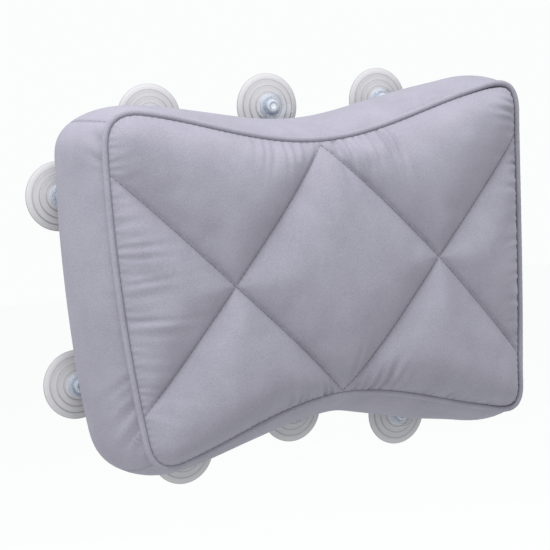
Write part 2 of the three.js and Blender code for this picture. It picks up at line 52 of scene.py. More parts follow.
SIDE_BOW, TOP_CORNER_CUT, BOTTOM_CORNER_CUT = 7.5, 28.0, 23.0
SEAM_Y = -92.3
BACK_Y = -16.3
BOXING_DEPTH = BACK_Y - SEAM_Y
SIDE_BULGE, TOP_BULGE, BOTTOM_BULGE, CORNER_EASE = 21.0, 18.0, 24.5, 8.0
TOP_LEFT_BULGE, TOP_RIGHT_BULGE = 2.5, 11.5
BOTTOM_LEFT_BULGE, BOTTOM_RIGHT_BULGE = 15.0, 17.0
BULGE_DEPTH, BOXING_FRONT, BOXING_START, BACK_SHARE = 56.0, 2.8, -1.8, 0.4
# This cushion is filled a little unevenly, which stretches its right side and both right corners.
RIGHT_STRETCH, RIGHT_TOP_STRETCH, RIGHT_BOTTOM_STRETCH = 1.4, 7.0, 5.5
RIGHT_TOP_PUSH, RIGHT_BOTTOM_PUSH, PUSH_REACH = 2.52, 3.01, 20.0
RIGHT_SWELL, RIGHT_LOW_SWELL, LEFT_LOW_SWELL = 0.5, 1.5, 3.0
BULGE_SPRING, RIGHT_SPRING = 0.85, 0.15
# The rest of its unevenness: shares of the way round the front seam, clockwise from the middle
# of the top, and how much further the boxing stands out there.
UNEVEN_SWELL = (
    (0, 0), (0.06, -0.5), (0.09, -2.3), (0.125, -4.4), (0.138, -3.2), (0.157, 6),
    (0.17, 3), (0.19, 0), (0.31, 0), (0.345, 2), (0.362, 7), (0.38, -2.4),
    (0.395, -3.2), (0.43, 0), (0.47, -0.5), (0.492, -3.2), (0.515, 0), (0.555, 2.2),
    (0.61, 0.3), (0.635, -3.3), (0.65, 0), (0.8, -0.5), (0.83, -1.7), (0.86, 1),
    (0.915, 0.8), (0.95, 1), (1, 0),
)
FILLING_SET, FILLING_CROWN, FILLING_GAP = 5.0, 11.0, 7.0
FILLING_SPACING, FILLING_DEPTHS = 9.0, (12.0, 26.0, 42.0, 57.0, 68.0)
LUMP_HEIGHT, LUMPS = 1.2, 23
FIBRE_WHITE = "F4F2EE"
FIBRE_SHADE = "DAD6CF"
scene = bpy.context.scene


def steps(loop):
    """The distance from each point of a closed loop to the next."""
    return np.linalg.norm(np.roll(loop, -1, 0) - loop, axis=1)


def evenly(loop, count):
    """So many points, evenly spaced along a closed loop."""
    walked = np.concatenate([[0], np.cumsum(steps(loop))])
    ends = np.concatenate([loop, loop[:1]])
    even = np.linspace(0, walked[-1], count, endpoint=False)
    return np.stack([np.interp(even, walked, ends[:, i]) for i in (0, 1)], -1)


def front_seam(spacing):
    """Evenly spaced (x, z) points of the front seam, clockwise from the middle of the top."""
    share = np.linspace(0, 1, 241)[:-1]

    def edge(x, half, corner, dip, waist):
        out = x / half
        curve = 0.5 - 0.5 * np.cos(np.pi * out)
        return np.stack([x, corner - dip * (1 - (1 - waist) * out**2 - waist * curve)], -1)

    def side(z):
        up = 0.5 + 0.5 * z / HALF_HEIGHT
        straight = BOTTOM_HALF_WIDTH + (TOP_HALF_WIDTH - BOTTOM_HALF_WIDTH) * up
        return np.stack([straight + SIDE_BOW * (1 - (z / HALF_HEIGHT) ** 2), z], -1)

    def rounded(start, peak, end):
        t = share[:, None]
        return (1 - t) ** 2 * start + 2 * t * (1 - t) * np.array(peak) + t**2 * end

    top_run = (TOP_HALF_WIDTH - TOP_CORNER_CUT) * share
    top = edge(top_run, TOP_HALF_WIDTH, HALF_HEIGHT, TOP_DIP, TOP_WAIST)
    bottom_run = (BOTTOM_HALF_WIDTH - BOTTOM_CORNER_CUT) * (1 - share)
    bottom = edge(bottom_run, BOTTOM_HALF_WIDTH, -HALF_HEIGHT, -BOTTOM_RISE, BOTTOM_WAIST)
    flank_length = 2 * HALF_HEIGHT - TOP_CORNER_CUT - BOTTOM_CORNER_CUT
    flank = side(HALF_HEIGHT - TOP_CORNER_CUT - flank_length * share)
    upper = rounded(top[-1], (TOP_HALF_WIDTH, HALF_HEIGHT), flank[0])
    lower = rounded(flank[-1], (BOTTOM_HALF_WIDTH, -HALF_HEIGHT), bottom[0])
    right = np.concatenate([top, upper, flank, lower, bottom])
    loop = np.concatenate([right, right[:0:-1] * (-1, 1)])
    high = loop[:, 1] / HALF_HEIGHT
    stretch = RIGHT_STRETCH + np.where(high > 0, RIGHT_TOP_STRETCH, RIGHT_BOTTOM_STRETCH) * high**2
    loop[:, 0] += stretch * np.clip(loop[:, 0] / TOP_HALF_WIDTH, 0, 1) ** 2
    pushed = (TOP_HALF_WIDTH, 1, RIGHT_TOP_PUSH), (BOTTOM_HALF_WIDTH, -1, RIGHT_BOTTOM_PUSH)
    for half, way, push in pushed:
        far = np.hypot(loop[:, 0] - half, loop[:, 1] - way * HALF_HEIGHT) / PUSH_REACH
        loop += push * np.exp(-(far**2))[:, None] * (1, way)
    for _ in range(2):
        loop = evenly(loop, 1600)
        for _ in range(12):
            loop = (np.roll(loop, 1, 0) + 2 * loop + np.roll(loop, -1, 0)) / 4
    return evenly(loop, 2 * int(round(steps(loop).sum() / spacing / 2)))


def outwards(loop):
    """Outward directions of a closed clockwise loop."""
    tangent = np.roll(loop, -1, 0) - np.roll(loop, 1, 0)
    tangent /= np.linalg.norm(tangent, axis=1, keepdims=True)
    return np.stack([-tangent[:, 1], tangent[:, 0]], -1)


def eased(loop, reach):
    """A closed loop of even points with its corners drawn in over a reach, as cloth draws them."""
    waves = np.fft.fftfreq(len(loop), np.linalg.norm(loop[1] - loop[0]))
    line = np.fft.fft(loop[:, 0] + 1j * loop[:, 1])
    line = np.fft.ifft(line * np.exp(-2 * (np.pi * waves * reach) ** 2))
    return np.stack([line.real, line.imag], -1)


def boxing_line(loop, depth):
    """The outer face of the boxing at a depth behind the front seam, as (x, z) points."""
    out = outwards(loop)
    above = loop[:, 1] > 0
    right_of = loop[:, 0] > 0
    reach = np.abs(loop[:, 0]) / np.where(above, TOP_HALF_WIDTH, BOTTOM_HALF_WIDTH)
    middle = np.where(above, TOP_BULGE, BOTTOM_BULGE)
    top_corner = np.where(right_of, TOP_RIGHT_BULGE, TOP_LEFT_BULGE)
    bottom_corner = np.where(right_of, BOTTOM_RIGHT_BULGE, BOTTOM_LEFT_BULGE)
    corner = np.where(above, top_corner, bottom_corner)
    upright = middle + (corner - middle) * np.minimum(1, reach) ** 2
    full = out * np.stack([np.full(len(loop), SIDE_BULGE), upright], -1)
    right, left = (np.clip(s * loop[:, 0] / BOTTOM_HALF_WIDTH, 0, 1) ** 4 for s in (1, -1))
    low = np.clip(0.5 - loop[:, 1] / HALF_HEIGHT, 0, 1)
    swell = (RIGHT_SWELL + RIGHT_LOW_SWELL * low) * right + LEFT_LOW_SWELL * left * low
    swell += np.interp(np.arange(len(loop)) / len(loop), *np.transpose(UNEVEN_SWELL))
    full += out * swell[:, None]
    full = eased(loop + full, CORNER_EASE) - loop
    if depth < BULGE_DEPTH:
        share = max(0, depth - BOXING_FRONT) / (BULGE_DEPTH - BOXING_FRONT)
        spring = math.sin(math.pi / 2 * share) ** (BULGE_SPRING - RIGHT_SPRING * right)[:, None]
        return loop + out * BOXING_START * (1 - spring) + full * spring
    share = ((depth - BULGE_DEPTH) / (BOXING_DEPTH - BULGE_DEPTH)) ** 2
    return loop + full * (1 - (1 - BACK_SHARE) * share)


def heading(angle):
    """The (x, z) direction at an angle in radians."""
    return np.stack([np.cos(angle), np.sin(angle)], -1)


def at_depth(flat, y):
    """(x, z) points as (x, y, z) points."""
    return np.stack([flat[:, 0], np.broadcast_to(y, len(flat)), flat[:, 1]], -1)


def rings(first, second, count):
    """Quads between two closed rings of points that start at these numbers."""
    return [
        (first + i, first + (i + 1) % count, second + (i + 1) % count, second + i)
        for i in range(count)
    ]


def capped(layers, count):
    """Faces of a round body: a pole, then so many rings of count points, then a second pole."""
    last = 1 + layers * count
    faces = [(0, 1 + (i + 1) % count, 1 + i) for i in range(count)]
    for layer in range(layers - 1):
        faces += rings(1 + layer * count, 1 + (layer + 1) * count, count)
    return faces + [(last, last - count + i, last - count + (i + 1) % count) for i in range(count)]


def make_piece(name, points, faces, material=None, closed=True, cut=0):
    """A smooth mesh object from points in millimetres. A closed one has its faces turned out.
    The last faces, as many as cut says, are a sharp cut edge."""
    mesh = bpy.data.meshes.new(name)
    mesh.from_pydata((np.asarray(points) * 0.001).tolist(), [], [tuple(map(int, f)) for f in faces])
    if closed:
        shell = bmesh.new()
        shell.from_mesh(mesh)
        bmesh.ops.recalc_face_normals(shell, faces=shell.faces)
        shell.to_mesh(mesh)
        shell.free()
    mesh.polygons.foreach_set("use_smooth", [True] * (len(faces) - cut) + [False] * cut)
    mesh.update()
    if material:
        mesh.materials.append(material)
    piece = bpy.data.objects.new(name, mesh)
    scene.collection.objects.link(piece)
    return piece


def colour(hex_value):
    """An sRGB hex value as linear red, green, blue and alpha."""
    parts = [int(hex_value[i : i + 2], 16) / 255 for i in (0, 2, 4)]
    return [c / 12.92 if c < 0.04045 else ((c + 0.055) / 1.055) ** 2.4 for c in parts] + [1.0]


def shade(material, kind, inputs=(), **settings):
    """Adds a node to a material, with its settings. An input, by name or number, is a value, a
    colour, a socket to link, or a node, which is linked by the first output it has in use. The
    surface node is linked on to the material's output."""
    made = material.node_tree.nodes.new("ShaderNode" + kind)
    for name, value in settings.items():
        setattr(made, name, value)
    named = {s.name: s for s in reversed(made.inputs) if s.enabled}
    for name, value in dict(inputs).items():
        socket = made.inputs[name] if isinstance(name, int) else named[name]
        if isinstance(value, bpy.types.Node):
            value = next(s for s in value.outputs if s.enabled)
        if isinstance(value, bpy.types.NodeSocket):
            material.node_tree.links.new(value, socket)
        else:
            socket.default_value = colour(value) if isinstance(value, str) else value
    if kind == "BsdfPrincipled":
        shade(material, "OutputMaterial", {"Surface": made})
    return made


def new_material(name):
    """An empty node material, what adds a node to it, and the point that its patterns are
    measured from, in metres."""
    material = bpy.data.materials.new(name)
    material.use_nodes = True
    material.node_tree.nodes.clear()
    add = functools.partial(shade, material)
    return material, add, add("TexCoord").outputs["Object"]


# Polyester fibre, carded and blown: a soft white mass with lumps of about 12 mm and single
# fibres that are drawn 1 mm wide so that they show.
polyester_fibre, add, place = new_material("polyester_fibre")
lumps = add("TexNoise", {"Vector": place, "Scale": 1 / 0.012, "Detail": 4.0})
hairs = add("TexNoise", {"Vector": place, "Scale": 1 / 0.001, "Detail": 2.0})
tone = add("Mix", {"Factor": lumps, "A": FIBRE_SHADE, "B": FIBRE_WHITE}, data_type="RGBA")
relief = add("Bump", {"Strength": 0.5, "Distance": 0.001, "Height": hairs})
add("BsdfPrincipled", {
    "Base Color": tone, "Roughness": 1.0, "Sheen Weight": 0.3, "Sheen Roughness": 0.6,
    "Normal": relief,
})

loop = front_seam(FILLING_SPACING)
count = len(loop)
lumpy = LUMP_HEIGHT * np.sin(np.arange(count) * 2 * math.pi * LUMPS / count)
front_y, back_y = SEAM_Y + FILLING_SET, BACK_Y - FILLING_SET
layers = [
    at_depth(loop * share, front_y - FILLING_CROWN * (1 - share**2)) for share in (0.3, 0.6, 0.85)
]
layers.append(at_depth(loop - (FILLING_GAP + 2) * outwards(loop), front_y + 1))
for depth in FILLING_DEPTHS:
    line = boxing_line(loop, depth) - (FILLING_GAP + lumpy)[:, None] * outwards(loop)
    layers.append(at_depth(line, SEAM_Y + depth))
layers += [at_depth(layers[-1][:, ::2] * share, back_y) for share in (0.9, 0.55, 0.25)]
points = np.concatenate([[(0, front_y - FILLING_CROWN, 0)], *layers, [(0, back_y, 0)]])
filling = make_piece("filling_fibre", points, capped(len(layers), count), polyester_fibre)
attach(filling, "pillow")
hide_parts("filling")


# Quilt wadding: a sheet of needled polyester, about 15 mm thick, sewn through together with
# the front cover. The stitching squeezes it flat, and it swells up in the cells between.
COVER_EDGE, RIGHT_EDGE = 2.0, 1.7
STITCH_CROWN, CROWN_SQUARE, CROWN_ROUND = 16.0, 3.0, 0.7
CELL_PUFF, PUFF_REACH, RIM_REACH = 10.0, 13.0, 6.0
TOP_TUFT_IN, BOTTOM_TUFT_IN = 2.0, 1.2
STITCH_ENDS = {
    "top": (-3.0, 101.0), "right_upper": (184.0, 93.5), "right_lower": (176.0, -92.0),
    "bottom": (2.0, -98.0), "left_lower": (-172.0, -93.0), "left_upper": (-180.0, 91.0),
}
RIGHT_CROSS_SET = (1.0, 4.0)
WADDING_SPACING, WADDING_SET, WADDING_PUFF, WADDING_RIM = 9.0, 3.0, 0.6, 1.5
CORE_SET, CORE_CROWN, SQUEEZED = 2.5, 12.0, 0.6


def cover_outline(spacing):
    """The edge of the front cover beside the piping, and the six points where stitching ends."""
    loop = front_seam(spacing)
    right = np.clip(loop[:, 0] / BOTTOM_HALF_WIDTH, 0, 1) ** 8
    edge = loop - (COVER_EDGE + RIGHT_EDGE * right)[:, None] * outwards(loop)
    ends = {n: edge[np.argmin(np.hypot(*(edge - near).T))] for n, near in STITCH_ENDS.items()}
    ends["top"] = ends["top"] - (0, TOP_TUFT_IN)
    ends["bottom"] = ends["bottom"] + (0, BOTTOM_TUFT_IN)
    return edge, ends


def turn(a, b):
    """Positive where (x, z) direction b lies counter-clockwise of a, seen from the front."""
    return a[..., 0] * b[..., 1] - a[..., 1] * b[..., 0]


def quilt_lines(ends):
    """The four stitched lines as eight stretches in (x, z) that meet at the two crossings."""
    names = ("top", "right_lower"), ("bottom", "right_upper")
    names += ("top", "left_lower"), ("bottom", "left_upper")
    lines = [(ends[a], ends[b]) for a, b in names]

    def crossing(first, second):
        (a, b), (c, d) = first, second
        return a + (b - a) * turn(c - a, d - c) / turn(b - a, d - c)

    crosses = [crossing(lines[0], lines[1]) + RIGHT_CROSS_SET, crossing(lines[2], lines[3])]
    stretches = []
    for (a, b), middle in zip(lines, np.repeat(crosses, 2, 0)):
        stretches += [(a, middle), (middle, b)]
    return stretches, crosses


def sides(edge):
    """The straight sides of a closed edge."""
    return list(zip(edge, np.roll(edge, -1, 0)))


def nearest_on(points, a, b):
    """The place on the line from a to b that is nearest to (x, z) points, as a share of the
    line, and its distance."""
    share = np.clip(((points - a) @ (b - a)) / ((b - a) @ (b - a)), 0, 1)
    return share, np.linalg.norm(points - a - share[:, None] * (b - a), axis=1)


def away_from(points, lines):
    """Distance of (x, z) points from the nearest of some straight lines."""
    return np.min([nearest_on(points, a, b)[1] for a, b in lines], 0)


def inside(points, loop):
    """Which (x, z) points lie inside a closed loop."""
    a, b = loop, np.roll(loop, -1, 0)
    x, z = points[:, 0, None], points[:, 1, None]
    crosses = (a[:, 1] > z) != (b[:, 1] > z)
    run = np.where(b[:, 1] == a[:, 1], 1, b[:, 1] - a[:, 1])
    left_of = x < a[:, 0] + (z - a[:, 1]) * (b[:, 0] - a[:, 0]) / run
    return (crosses & left_of).sum(1) % 2 == 1


def cloth_net(edge, cuts, spacing):
    """Triangles of about one size inside an edge, with their sides along the given cuts.
    Returns the points, the triangles, and the numbers of the points on the edge."""
    fixed, held = [edge], [(i, (i + 1) % len(edge)) for i in range(len(edge))]
    start = len(edge)
    for a, b in cuts:
        pieces = max(2, int(round(np.linalg.norm(b - a) / spacing)))
        fixed.append(a + (b - a) * (np.arange(pieces + 1) / pieces)[:, None])
        held += [(start + i, start + i + 1) for i in range(pieces)]
        start += pieces + 1
    low, high = edge.min(0), edge.max(0)
    across = np.arange(low[0], high[0], spacing)
    grid = np.concatenate([
        np.stack([across + (i % 2) * spacing / 2, np.full(len(across), z)], -1)
        for i, z in enumerate(np.arange(low[1], high[1], spacing * 0.866))
    ])
    grid = grid[inside(grid, edge)]
    grid = grid[away_from(grid, sides(edge) + list(cuts)) > spacing * 0.6]
    cloud = np.concatenate([*fixed, grid])
    found = geometry.delaunay_2d_cdt([Vector(p) for p in cloud], held, [], 0, 1e-4)
    points = np.array([tuple(p) for p in found[0]])
    triangles = np.array(found[2])
    triangles = triangles[inside(points[triangles].mean(1), edge)]
    used = np.zeros(len(points), bool)
    used[triangles.ravel()] = True
    points, triangles = points[used], (np.cumsum(used) - 1)[triangles]
    a, b, c = (points[triangles[:, i]] for i in range(3))
    away = turn(b - a, c - a) < 0
    triangles[away] = triangles[away][:, ::-1]
    on_edge = np.array([int(np.argmin(np.hypot(*(points - p).T))) for p in edge])
    return points, triangles, on_edge


def share_out(points, edge):
    """How far out points lie: 0 in the middle, 1 on the edge."""
    angle = np.arctan2(edge[:, 1], edge[:, 0])
    order = np.argsort(angle)
    towards = np.arctan2(points[:, 1], points[:, 0])
    reach = np.interp(towards, angle[order], np.hypot(*edge.T)[order], period=2 * np.pi)
    return np.minimum(1, np.hypot(*points.T) / reach)


def stitched_y(points, edge):
    """Depth of the stitched surface: steep beside the piping and level in the middle."""
    return SEAM_Y - STITCH_CROWN * (1 - share_out(points, edge) ** CROWN_SQUARE) ** CROWN_ROUND


def puffed(points, edge, lines):
    """How far the cells stand up between the stitched lines."""
    line, rim = away_from(points, lines), away_from(points, sides(edge))
    return CELL_PUFF * (1 - np.exp(-line / PUFF_REACH)) * (1 - np.exp(-rim / RIM_REACH))


def triangle_sides(triangles):
    """The three sides of each triangle, as pairs of point numbers."""
    return np.concatenate([triangles[:, [0, 1]], triangles[:, [1, 2]], triangles[:, [2, 0]]])


def two_sided(triangles, count):
    """Faces of a sheet, whose second layer of count points follows the first, and of its rim."""
    pairs, uses = np.unique(np.sort(triangle_sides(triangles), 1), axis=0, return_counts=True)
    faces = [tuple(t) for t in triangles] + [tuple(t[::-1] + count) for t in triangles]
    return faces, [(a, b, b + count, a + count) for a, b in pairs[uses == 1]]


edge, ends = cover_outline(WADDING_SPACING)
lines, _ = quilt_lines(ends)
flat, triangles, _ = cloth_net(edge, lines, WADDING_SPACING)
share = share_out(flat, edge)
front = stitched_y(flat, edge) - WADDING_PUFF * puffed(flat, edge, lines)
front += WADDING_SET - WADDING_RIM * share**6
back = np.maximum(SEAM_Y + CORE_SET - CORE_CROWN * (1 - share**2), front + SQUEEZED)
points = np.concatenate([at_depth(flat, front), at_depth(flat, back)])
faces, rim = two_sided(triangles, len(flat))
wadding = make_piece("quilt_wadding_sheet", points, faces + rim, polyester_fibre)
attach(wadding, "pillow")
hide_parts("quilt_wadding")


# Front cover: polyester velour with a short upright pile, cut with one per cent of ease and
# quilted through the wadding by four stitched lines. Its edge is gathered into the piped seam.
COVER_CLOTH, COVER_BACK, COVER_SPACING, COVER_EASE = 1.2, -0.5, 3.0, 0.01
VELOUR_CLOTH = {
    "quality": 5, "mass": 0.15, "tension_stiffness": 12, "compression_stiffness": 12,
    "shear_stiffness": 4, "bending_stiffness": 2.0, "tension_damping": 5,
    "compression_damping": 5, "air_damping": 2, "use_pressure": True,
}
STITCH_FADE, EDGE_FADE, EDGE_SHARE = 5.0, 2.0, 0.2
GROOVE_DEPTH, GROOVE_WIDTH, GROOVE_FADE, GROOVE_SHARE = 1.4, 1.6, 4.0, 0.3
SCALLOP_HEIGHT, SCALLOP_PITCH, SCALLOP_REACH = 0.35, 5.6, 3.5
# Groups of folds beside the seam, each with its first and last fold's start, their number, the
# first and last direction in degrees, the shortest and longest length, the depth and the width.
COVER_FOLDS = (
    ((-184, 86), (-174, -90), 19, (12, -14), (20, 58), 0.65, 3.2),
    ((-178, 126), (-184, 92), 6, (18, 6), (9, 22), 0.7, 2.4),
    ((-64, 107), (-10, 101), 7, (-114, -102), (16, 40), 1.3, 3.1),
    ((6, 102), (62, 106), 7, (-80, -86), (32, 62), 2.5, 3.0),
    ((177, 132), (183, 92), 8, (156, 168), (18, 42), 1.4, 2.9),
    ((184, 84), (174, -88), 17, (174, 184), (14, 38), 1.4, 2.8),
    ((-52, -101), (-6, -98), 7, (98, 114), (14, 32), 2.7, 2.6),
    ((8, -98), (46, -100), 7, (80, 60), (16, 36), 2.6, 2.6),
    ((52, -102), (140, -131), 9, (55, 35), (10, 24), 2.0, 2.5),
    ((-140, -131), (-56, -102), 5, (125, 115), (8, 16), 0.45, 2.6),
    ((2, -92), (8, -92), 3, (80, 70), (34, 56), 1.6, 2.6),
)
LONG_FOLD = np.array((-184, -19)), np.array((-112, -22)), 0.75, 2.4
CROSS_FOLD_ANGLES, CROSS_FOLD_FROM, CROSS_FOLD_TO = (20, 50, 155, 200, 285), 4, 15
CROSS_FOLD_DEPTH, CROSS_FOLD_WIDTH = 0.6, 1.8
# How far folds of one group differ: their place, direction in degrees, depth and width.
FOLD_PLACES, FOLD_TURNS, FOLD_DEPTHS, FOLD_WIDTHS = (0.2, 0.8), (-7, 7), (0.45, 1.15), (0.75, 1.3)
VELOUR_LIGHT = "9B99A5"
VELOUR_DARK = "6C6A75"
VELOUR_SHEEN = "C9C6D6"


def settle_cloth(points, triangles, sewn, ease, pressure, limit):
    """Lets cloth swell over its filling. Sewn points stay, the rest moves at most limit."""
    sheet = make_piece("settling_cloth", points, triangles, closed=False)
    group = sheet.vertex_groups.new(name="sewn")
    group.add([int(i) for i in np.flatnonzero(sewn)], 1.0, "REPLACE")
    cloth = sheet.modifiers.new("settle", "CLOTH")
    for name, value in VELOUR_CLOTH.items():
        setattr(cloth.settings, name, value)
    cloth.settings.vertex_group_mass = "sewn"
    cloth.settings.uniform_pressure_force = pressure
    cloth.settings.shrink_min = -ease
    cloth.settings.effector_weights.gravity = 0
    cloth.collision_settings.use_collision = False
    for step in range(1, 26):
        scene.frame_set(step)
    settled = sheet.evaluated_get(bpy.context.evaluated_depsgraph_get()).data
    moved = np.zeros(len(points) * 3)
    settled.vertices.foreach_get("co", moved)
    moved = moved.reshape(-1, 3) * 1000 - points
    scene.frame_set(1)
    bpy.data.objects.remove(sheet)
    length = np.maximum(np.linalg.norm(moved, axis=1, keepdims=True), 1e-6)
    return points + moved * limit * np.tanh(length / limit) / length


def smoothed(points, triangles, still, times):
    """Points moved towards the middle of their neighbours, except those that stay still."""
    links = triangle_sides(triangles)
    links = np.unique(np.concatenate([links, links[:, ::-1]]), axis=0)
    number = np.bincount(links[:, 0], minlength=len(points))[:, None]
    for _ in range(times):
        near = points[links[:, 1]]
        total = np.stack([np.bincount(links[:, 0], near[:, i], len(points)) for i in range(3)], -1)
        middle = 0.5 * points + 0.5 * total / np.maximum(number, 1)
        points = np.where(still[:, None], points, middle)
    return points


def refine(points, triangles, sharp):
    """Each triangle in four, with the new points smoothed except where the cloth is sewn."""
    pairs, which = np.unique(np.sort(triangle_sides(triangles), 1), axis=0, return_inverse=True)
    ab, bc, ca = len(points) + which.reshape(3, -1)
    a, b, c = triangles.T
    quarters = (a, ab, ca), (ab, b, bc), (ca, bc, c), (ab, bc, ca)
    finer = np.concatenate([np.stack(t, 1) for t in quarters])
    finer_points = np.concatenate([points, points[pairs].mean(1)])
    finer_sharp = np.concatenate([sharp, sharp[pairs].all(1)])
    return smoothed(finer_points, finer, finer_sharp, 3), finer, finer_sharp


def along_edge(points, edge):
    """The nearest place on a closed edge, as a length along it, and the distance from it."""
    length = steps(edge)
    start = np.concatenate([[0], np.cumsum(length)[:-1]])
    nearest, place_on = np.full(len(points), np.inf), np.zeros(len(points))
    for (a, b), begin, run in zip(sides(edge), start, length):
        share, gap = nearest_on(points, a, b)
        place_on = np.where(gap < nearest, begin + share * run, place_on)
        nearest = np.minimum(gap, nearest)
    return place_on, nearest


def crease(flat, start, end, depth, width):
    """How deep a fold lies: a valley with a soft ridge on each side that fades out at its end."""
    length = np.linalg.norm(end - start)
    run = (end - start) / length
    along = (flat - start) @ run / length
    across = turn(run, flat - start) / (width * (0.8 + 0.5 * np.clip(along, 0, 1)))
    fade = np.exp(-np.where(along > 0, along / 0.6, along * length / 3) ** 2)
    return depth * (1 - across**2) * np.exp(-(across**2) / 2) * fade


def pleats(flat, groups, seed):
    """Groups of folds side by side along a gathered seam, with a seeded unevenness."""
    chance = np.random.RandomState(seed)
    deep = np.zeros(len(flat))
    for first, last, count, angles, lengths, depth, width in groups:
        for i in range(count):
            share = (i + chance.uniform(*FOLD_PLACES)) / count
            start = np.array(first) + np.subtract(last, first) * share
            angle = angles[0] + (angles[1] - angles[0]) * share + chance.uniform(*FOLD_TURNS)
            end = start + chance.uniform(*lengths) * heading(math.radians(angle))
            this_depth = depth * chance.uniform(*FOLD_DEPTHS)
            deep += crease(flat, start, end, this_depth, width * chance.uniform(*FOLD_WIDTHS))
    return deep


# Velour, a knitted ground with cut polyester pile: matt, with a pale sheen where it is seen
# along the pile, soft patches where the pile lies over, and a grain drawn 1 mm wide to show.
lilac_velour, add, place = new_material("lilac_velour")
patches = add("TexNoise", {"Vector": place, "Scale": 1 / 0.03, "Detail": 3.0, "Roughness": 0.55})
grain = add("TexNoise", {"Vector": place, "Scale": 1 / 0.001, "Detail": 2.0})
blend = add("Math", {0: patches, 1: 0.4}, operation="MULTIPLY")
blend = add("Math", {0: grain, 1: 0.6, 2: blend}, operation="MULTIPLY_ADD")
tone = add("Mix", {"Factor": blend, "A": VELOUR_DARK, "B": VELOUR_LIGHT}, data_type="RGBA")
nap = add("Bump", {"Strength": 0.4, "Distance": 0.0006, "Height": grain})
add("BsdfPrincipled", {
    "Base Color": tone, "Roughness": 0.95, "Specular IOR Level": 0.15, "Sheen Weight": 0.18,
    "Sheen Roughness": 0.5, "Sheen Tint": VELOUR_SHEEN, "Normal": nap,
})

edge, ends = cover_outline(COVER_SPACING)
lines, crosses = quilt_lines(ends)
flat, triangles, on_edge = cloth_net(edge, lines, COVER_SPACING)
height = stitched_y(flat, edge) + COVER_BACK - COVER_CLOTH - puffed(flat, edge, lines)
sewn = away_from(flat, lines) < 0.01
sewn[on_edge] = True
points = at_depth(flat, height)
points = settle_cloth(points, triangles, sewn, ease=COVER_EASE, pressure=3.0, limit=6.0)
points = smoothed(points, triangles, sewn, 8)
points, triangles, sewn = refine(points, triangles, sewn)
flat = points[:, [0, 2]]
place_on, gap = along_edge(flat, edge)
line = away_from(flat, lines)
deep = pleats(flat, COVER_FOLDS, seed=5) + crease(flat, *LONG_FOLD)
for middle in crosses:
    for out in heading(np.radians(CROSS_FOLD_ANGLES)):
        start, end = middle + CROSS_FOLD_FROM * out, middle + CROSS_FOLD_TO * out
        deep += crease(flat, start, end, CROSS_FOLD_DEPTH, CROSS_FOLD_WIDTH)
# The folds fade out close to the stitching and to the edge, where the cloth is held.
fade = np.minimum(1, line / STITCH_FADE) * np.minimum(1, gap / EDGE_FADE + EDGE_SHARE)
points[:, 1] += deep * fade
groove = GROOVE_DEPTH * np.exp(-((line / GROOVE_WIDTH) ** 2))
points[:, 1] += groove * np.minimum(1, GROOVE_SHARE + gap / GROOVE_FADE)
scallop = np.sin(place_on * 2 * math.pi / SCALLOP_PITCH + 1.5 * np.sin(place_on / 23))
points[:, 1] += SCALLOP_HEIGHT * scallop * np.exp(-((gap / SCALLOP_REACH) ** 2))
faces, rim = two_sided(triangles, len(points))
points = np.concatenate([points, points + (0, COVER_CLOTH, 0)])
cover = make_piece("front_cover_velour", points, faces + rim, lilac_velour, cut=len(rim))
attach(cover, "pillow")
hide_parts("front_cover")


# Quilt stitching: a lockstitch in matching polyester thread, which sinks into the valley
# between the puffed cells. A real one has about four stitches to the centimetre, and this one
# is drawn coarser, with a stitch every 4.2 mm.
STITCH_LENGTH, STITCH_PITCH, STITCH_SINK, STITCH_LIFT = 3.2, 4.2, 1.1, 0.15
THREAD_RADIUS, THREAD_SIDES = 0.35, 6
THREAD_LILAC = "7C7985"
THREAD_SHADE = "696672"


def stitch(start, end, lift):
    """One stitch as a bent capsule from start to end, lifted in its middle. Points and faces."""
    along = end - start
    length = np.linalg.norm(along)
    along = along / length
    across = np.cross(along, lift / np.linalg.norm(lift))
    across /= np.linalg.norm(across)
    up = np.cross(across, along)
    points = [start]
    sections = (0.06, 0.6), (0.25, 1.0), (0.5, 1.0), (0.75, 1.0), (0.94, 0.6)
    for share, size in sections:
        middle = start + along * length * share + lift * math.sin(math.pi * share)
        for angle in np.arange(THREAD_SIDES) * 2 * math.pi / THREAD_SIDES:
            towards = math.cos(angle) * across + math.sin(angle) * up
            points.append(middle + THREAD_RADIUS * size * towards)
    return points + [end], capped(len(sections), THREAD_SIDES)


def gathered(parts):
    """Points and faces of several bodies as one list each."""
    points, faces = [], []
    for some_points, some_faces in parts:
        faces += [tuple(i + len(points) for i in f) for f in some_faces]
        points += list(some_points)
    return points, faces


# Spun polyester thread: satin, with a twist of about 0.5 mm that shows as fine dark bars, here
# drawn about 1 mm wide.
polyester_thread, add, place = new_material("polyester_thread")
twist = add(
    "TexWave", {"Vector": place, "Scale": 1 / 0.003, "Distortion": 2.0, "Detail": 1.0},
    bands_direction="DIAGONAL",
).outputs["Fac"]
tone = add("Mix", {"Factor": twist, "A": THREAD_SHADE, "B": THREAD_LILAC}, data_type="RGBA")
relief = add("Bump", {"Strength": 0.3, "Distance": 0.0002, "Height": twist})
add(
    "BsdfPrincipled",
    {"Base Color": tone, "Roughness": 0.6, "Sheen Weight": 0.2, "Normal": relief},
)

parts = []
for a, b in lines:
    length = np.linalg.norm(b - a)
    for at in np.arange(0.4, length - STITCH_LENGTH, STITCH_PITCH):
        ends = np.array([a + (b - a) * s / length for s in (at, at + STITCH_LENGTH)])
        depth = stitched_y(ends, edge) + COVER_BACK - COVER_CLOTH + STITCH_SINK
        start, end = at_depth(ends, depth)
        parts.append(stitch(start, end, np.array([0, -STITCH_LIFT, 0])))
stitching = make_piece("quilt_stitching", *gathered(parts), polyester_thread)
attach(stitching, "pillow")


